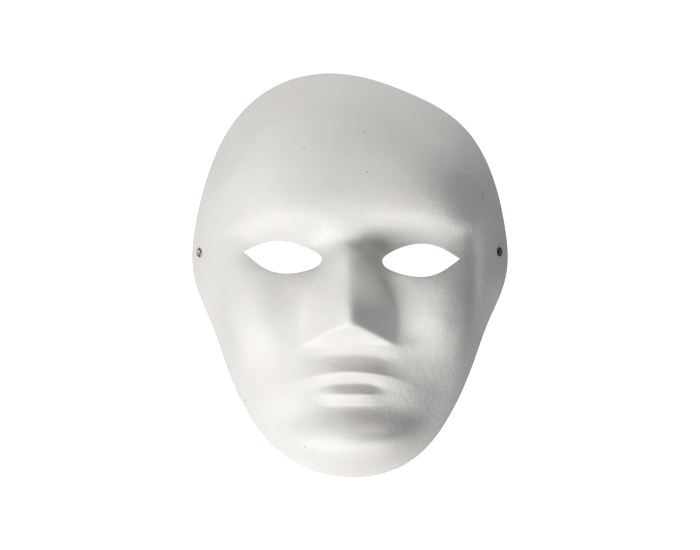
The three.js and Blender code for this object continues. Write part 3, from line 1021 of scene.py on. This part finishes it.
@dataclass(frozen=True)
class PulpFinish:
    """Matt white paper pulp with the imprint of a fine wire screen, and a few dark specks.

    The specks' places are in millimetres, the wires' headings in degrees and lengths in metres.
    """

    name: str = "pulp"
    white: Colour = (0.885, 0.874, 0.846, 1.0)
    shade: Colour = (0.862, 0.834, 0.81, 1.0)
    clouds: Noise = Noise(28.0, 4.0)
    cloud_span: Span = (0.35, 0.7)
    smears: Noise = Noise(140.0, 3.0)
    smear_span: Span = (0.3, 0.7)
    roughness: Span = (0.6, 0.76)
    specular: float = 0.35
    speck: Colour = (0.12, 0.1, 0.09, 1.0)
    speck_places: tuple[Span, ...] = (
        (-26.1, 72.5), (10.0, 58.7), (8.9, 82.2), (78.9, 48.2), (78.4, 46.6), (-61.7, -74.6),
        (-25.9, -100.4),
    )
    speck_radius: float = 0.42 * MM
    speck_core: float = 0.6
    speck_depth: float = 0.9
    wire_pitch: float = 1.2 * MM
    wire_headings: Span = (62.0, 121.0)
    wire_height: float = 0.008 * MM
    faintest_wire: float = 0.25
    wander: Noise = Noise(130.0, 3.0)
    wander_turn: float = 5.0
    patches: Noise = Noise(25.0, 2.0)
    patch_span: Span = (0.35, 0.65)
    grain: Noise = Noise(900.0, 3.0)
    grain_height: float = 0.07 * MM
    lumps: Noise = Noise(300.0, 3.0)
    lump_height: float = 0.16 * MM
    deepening: Span = (-20.0 * MM, 45.0 * MM)
    deeper_right: float = 2.2

    def material(self) -> bpy.types.Material:
        """Clouds of two whites with specks on them, smears of roughness, and the relief as bump."""
        sheet = NodeSheet.new(self.name)
        texture = sheet.add("ShaderNodeTexCoord")
        where = texture.outputs["Object"]
        cloudiness = sheet.spread(sheet.noise(where, self.clouds), self.cloud_span)
        colour = sheet.blend(cloudiness, self.white, self.shade)
        specks = self.speck_cover(sheet, where, texture.outputs["Normal"])
        smears = sheet.noise(where, self.smears)
        shader = sheet.add(
            "ShaderNodeBsdfPrincipled",
            Base_Color=sheet.blend(specks, colour, self.speck),
            Roughness=sheet.spread(smears, self.smear_span, self.roughness),
            Specular_IOR_Level=self.specular,
            Normal=sheet.bump(self.relief(sheet, where)),
        )
        return sheet.finish(shader)

    def speck_cover(self, sheet: NodeSheet, where: Socket, normal: Socket) -> Socket:
        """How much of a speck's colour shows, from the distance in plan to the nearest one.

        Args:
            sheet: the material's nodes.
            where: the place on the skin.
            normal: the skin's normal there; only what faces up, the outer face, has specks.

        Returns:
            The specks' depth at the core of a speck, falling to 0 at its radius.
        """
        plan = sheet.add("ShaderNodeSeparateXYZ", Vector=where).outputs
        flat = sheet.add("ShaderNodeCombineXYZ", X=plan["X"], Y=plan["Y"]).outputs[0]
        nearest = 1.0
        for x, y in self.speck_places:
            nearest = sheet.math("MINIMUM", sheet.distance(flat, (x * MM, y * MM, 0.0)), nearest)
        edge = (self.speck_core * self.speck_radius, self.speck_radius)
        cover = sheet.spread(nearest, edge, (self.speck_depth, 0.0))
        upwards = sheet.add("ShaderNodeSeparateXYZ", Vector=normal).outputs["Z"]
        return sheet.math("MULTIPLY", cover, sheet.math("GREATER_THAN", upwards, 0.0))

    def relief(self, sheet: NodeSheet, where: Socket) -> Socket:
        """Height of the wires' imprint, the grain and the lumps together.

        Each set of wires is a sine along its heading. One noise lets the wires wander and another
        lets them come and go. All of it is deeper on the right of the face.

        Args:
            sheet: the material's nodes.
            where: the place on the skin.

        Returns:
            The height in metres.
        """
        plan = sheet.add("ShaderNodeSeparateXYZ", Vector=where).outputs
        shift = sheet.math("MULTIPLY", sheet.noise(where, self.wander), self.wander_turn)
        waves = []
        turn = 2 * math.pi / self.wire_pitch
        for heading in map(math.radians, self.wire_headings):
            phase = sheet.math("MULTIPLY_ADD", plan["X"], turn * math.cos(heading), shift)
            phase = sheet.math("MULTIPLY_ADD", plan["Y"], turn * math.sin(heading), phase)
            waves.append(sheet.math("SINE", phase))
        heights = (self.faintest_wire * self.wire_height, self.wire_height)
        depth = sheet.spread(sheet.noise(where, self.patches), self.patch_span, heights)
        wires = sheet.math("MULTIPLY", sheet.math("ADD", *waves), depth)
        grain = sheet.math("MULTIPLY", sheet.noise(where, self.grain), self.grain_height)
        lumps = sheet.math("MULTIPLY", sheet.noise(where, self.lumps), self.lump_height)
        height = sheet.math("ADD", sheet.math("ADD", grain, lumps), wires)
        deeper = sheet.spread(plan["X"], self.deepening, (1.0, self.deeper_right))
        return sheet.math("MULTIPLY", height, deeper)


@dataclass(frozen=True)
class BrassFinish:
    """Dulled brass, tarnished in blotches, with a painted highlight in the bore: a pale matt spot
    where the bore shows bright.
    """

    name: str
    metal: Colour
    tarnish: Colour
    highlight_reach: float
    # Painted highlight: a pale matt colour in the bore that stands in for the bore showing bright.
    bore_highlight: Colour = (0.86, 0.8, 0.74, 1.0)
    highlight_core: float = 0.85
    highlight_roughness: float = 0.4
    blotches: Noise = Noise(700.0, 4.0)
    blotch_span: Span = (0.4, 0.65)
    gloss_span: Span = (0.35, 0.7)
    roughness: Span = (0.28, 0.55)
    scratches: Noise = Noise(4000.0, 2.0)
    scratch_height: float = 0.006 * MM

    def material(self, middle: Array) -> bpy.types.Material:
        """Metal coloured and roughened by one noise, scratched, with a painted highlight by
        distance.

        Args:
            middle: the middle of the bore's mouth, in millimetres.

        Returns:
            The material.
        """
        sheet = NodeSheet.new(self.name)
        where = sheet.add("ShaderNodeTexCoord").outputs["Object"]
        blotches = sheet.noise(where, self.blotches)
        metal = sheet.blend(sheet.spread(blotches, self.blotch_span), self.metal, self.tarnish)
        rough = sheet.spread(blotches, self.gloss_span, self.roughness)
        scratches = sheet.math("MULTIPLY", sheet.noise(where, self.scratches), self.scratch_height)
        # Painted highlight: near the bore's mouth the metal gives way to a pale matt colour.
        away = sheet.distance(where, tuple(float(value) * MM for value in middle))
        edge = (self.highlight_core * self.highlight_reach, self.highlight_reach)
        highlight = sheet.spread(away, edge, (1.0, 0.0))
        shader = sheet.add(
            "ShaderNodeBsdfPrincipled",
            Base_Color=sheet.blend(highlight, metal, self.bore_highlight),
            Roughness=sheet.math("MULTIPLY_ADD", highlight, self.highlight_roughness, rough),
            Metallic=sheet.math("SUBTRACT", 1.0, highlight),
            Normal=sheet.bump(scratches),
        )
        return sheet.finish(shader)


# Lit and shaded copies of one brass: each eyelet's colours are painted for the light where it sits.
BRASS = (
    # Painted light: the left eyelet's brass is painted lighter, as lit.
    BrassFinish(
        name="eyelet_brass_left",
        metal=(0.5, 0.42, 0.27, 1.0),
        tarnish=(0.22, 0.17, 0.1, 1.0),
        highlight_reach=1.82 * MM,
    ),
    # Painted shade: the right eyelet's brass and its bore's highlight are painted darker, as in the
    # shade on the right.
    BrassFinish(
        name="eyelet_brass_right",
        metal=(0.14, 0.105, 0.06, 1.0),
        tarnish=(0.05, 0.035, 0.022, 1.0),
        highlight_reach=1.64 * MM,
        bore_highlight=(0.6, 0.54, 0.46, 1.0),
    ),
)


@dataclass(frozen=True)
class CoveFinish:
    """The white of the studio's cove: matt, and lit from within so that it shows as pure white."""

    name: str = "cove_white"
    colour: Colour = (0.9, 0.9, 0.9, 1.0)
    roughness: float = 0.9
    specular: float = 0.1
    glow: float = 0.95

    def material(self) -> bpy.types.Material:
        """A matt white with an even glow."""
        sheet = NodeSheet.new(self.name)
        shader = sheet.add(
            "ShaderNodeBsdfPrincipled",
            Base_Color=self.colour,
            Roughness=self.roughness,
            Specular_IOR_Level=self.specular,
            Emission_Color=WHITE,
            Emission_Strength=self.glow,
        )
        return sheet.finish(shader)


@dataclass(frozen=True)
class SoftLight:
    """A square soft light that looks at the middle of the mask.

    Its azimuth is in degrees from +X towards +Y, and its elevation in degrees over the rim plane.
    """

    name: str
    azimuth: float
    elevation: float
    strength: float
    size: float = 0.7
    distance: float = 1.6

    def hang(self, target: Vector) -> None:
        """Makes the light; a strength of 1 lights a surface that faces it as a white sky would.

        Args:
            target: the point that it looks at, in metres.
        """
        data = bpy.data.lights.new(self.name, "AREA")
        data.shape = "SQUARE"
        data.size = self.size
        data.energy = self.strength * math.pi**2 * self.distance**2
        lamp = put_in_scene(self.name, data)
        turn, lift = math.radians(self.azimuth), math.radians(self.elevation)
        level = math.cos(lift)
        away = Vector((math.cos(turn) * level, math.sin(turn) * level, math.sin(lift)))
        lamp.location = target + away * self.distance
        lamp.rotation_euler = away.to_track_quat("Z", "Y").to_euler()
        lamp.visible_camera = False


@dataclass(frozen=True)
class Studio:
    """The cove, the sky, the soft lights and the camera over the mask."""

    floor_radius: float = 2.2
    floor_drop: float = 0.00005
    bend: float = 0.9
    wall_top: float = 3.4
    cove_sides: int = 96
    bend_points: int = 10
    sky: float = 0.2
    lights: tuple[SoftLight, ...] = (
        SoftLight("key", azimuth=240, elevation=38, strength=0.59),
        SoftLight("key_side", azimuth=207, elevation=38, strength=0.25),
        SoftLight("crown", azimuth=90, elevation=6, strength=0.27),
        SoftLight("crown_left", azimuth=122, elevation=6, strength=0.21),
        SoftLight("crown_right", azimuth=60, elevation=6, strength=0.04),
        SoftLight("chin", azimuth=281, elevation=6, strength=0.17),
    )
    camera_height: float = 1.5
    view_width: float = 0.4179
    view_middle: Span = (0.0003, -0.0003)
    sensor: float = 36.0
    clip_end: float = 20.0

    def cove_profile(self) -> Array:
        """Radius and height, in metres: a level floor, a quarter circle up, and an upright wall."""
        turn = np.linspace(0, np.pi / 2, self.bend_points)
        radius = self.floor_radius + self.bend * np.sin(turn)
        height = self.bend * (1 - np.cos(turn)) - self.floor_drop
        return np.append(np.column_stack([radius, height]), [[radius[-1], self.wall_top]], 0)

    def set_cove(self) -> None:
        """A round white cove whose floor lies under the rim; only the camera sees it."""
        radius, height = self.cove_profile().T[:, :, None]
        turn = np.linspace(0, 2 * np.pi, self.cove_sides, endpoint=False)
        sides = np.broadcast_arrays(radius * np.cos(turn), radius * np.sin(turn), height)
        parts = MeshParts()
        rings = parts.add(np.stack(sides, -1) / MM)
        parts.bands(rings, turned=True)
        parts.fan(np.array([0.0, 0.0, -self.floor_drop]) / MM, rings[0])
        cove = parts.build("cove")
        cove.data.materials.append(CoveFinish().material())
        cove.visible_diffuse = False
        cove.visible_glossy = False
        cove.visible_shadow = False

    def set_sky(self) -> None:
        """An even white surround."""
        world = bpy.data.worlds.new("studio")
        world.use_nodes = True
        background = world.node_tree.nodes["Background"]
        background.inputs["Color"].default_value = WHITE
        background.inputs["Strength"].default_value = self.sky
        bpy.context.scene.world = world

    def set_camera(self) -> None:
        """A camera straight above, whose frame is as wide on the floor as the photograph's."""
        data = bpy.data.cameras.new("camera")
        data.sensor_width = self.sensor
        data.lens = self.sensor * self.camera_height / self.view_width
        data.clip_end = self.clip_end
        camera = put_in_scene("camera", data)
        camera.location = (*self.view_middle, self.camera_height)
        bpy.context.scene.camera = camera

    def set_up(self, target: Vector) -> None:
        """Makes all of it, with plain sRGB tones.

        Args:
            target: the point that every light looks at, in metres.
        """
        self.set_cove()
        self.set_sky()
        for light in self.lights:
            light.hang(target)
        self.set_camera()
        bpy.context.scene.view_settings.view_transform = "Standard"


@dataclass
class CraftMask:
    """The mask: its skin and two eyelets, dressed and put in the CAD part's place."""

    skin: PulpSkin = field(default_factory=PulpSkin)
    eyelets: tuple[Eyelet, ...] = EYELETS

    def build(self) -> None:
        """Makes every piece and says which CAD node it stands for."""
        form = self.skin.form
        skin = self.skin.build()
        for eyelet in self.eyelets:
            eyelet.drill_hole(form, skin)
        self.place(skin, "mask_shell", "pulp", PulpFinish().material())
        for eyelet, finish in zip(self.eyelets, BRASS):
            brass = finish.material(eyelet.seat(form).middle)
            self.place(eyelet.build(form), eyelet.name.removeprefix("brass_"), "eyelet", brass)

    def place(self, piece: bpy.types.Object, node: str, slot: str,
              material: bpy.types.Material) -> None:
        """Dresses a piece and ties it to the node that it replaces.

        Args:
            piece: the finished object.
            node: the CAD node that it stands for.
            slot: not used.
            material: its material.
        """
        piece.data.materials.clear()
        piece.data.materials.append(material)
        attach(piece, "root")
        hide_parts(node)
        log.info("%s: %d faces, for %s", piece.name, len(piece.data.polygons), node)


def main() -> None:
    """Builds the mask and the studio."""
    logging.basicConfig(level=logging.INFO, format="%(name)s: %(message)s")
    CraftMask().build()
    low, high = CAD_BOX
    Studio().set_up((low + high) / 2)


if __name__ == "__main__":
    main()
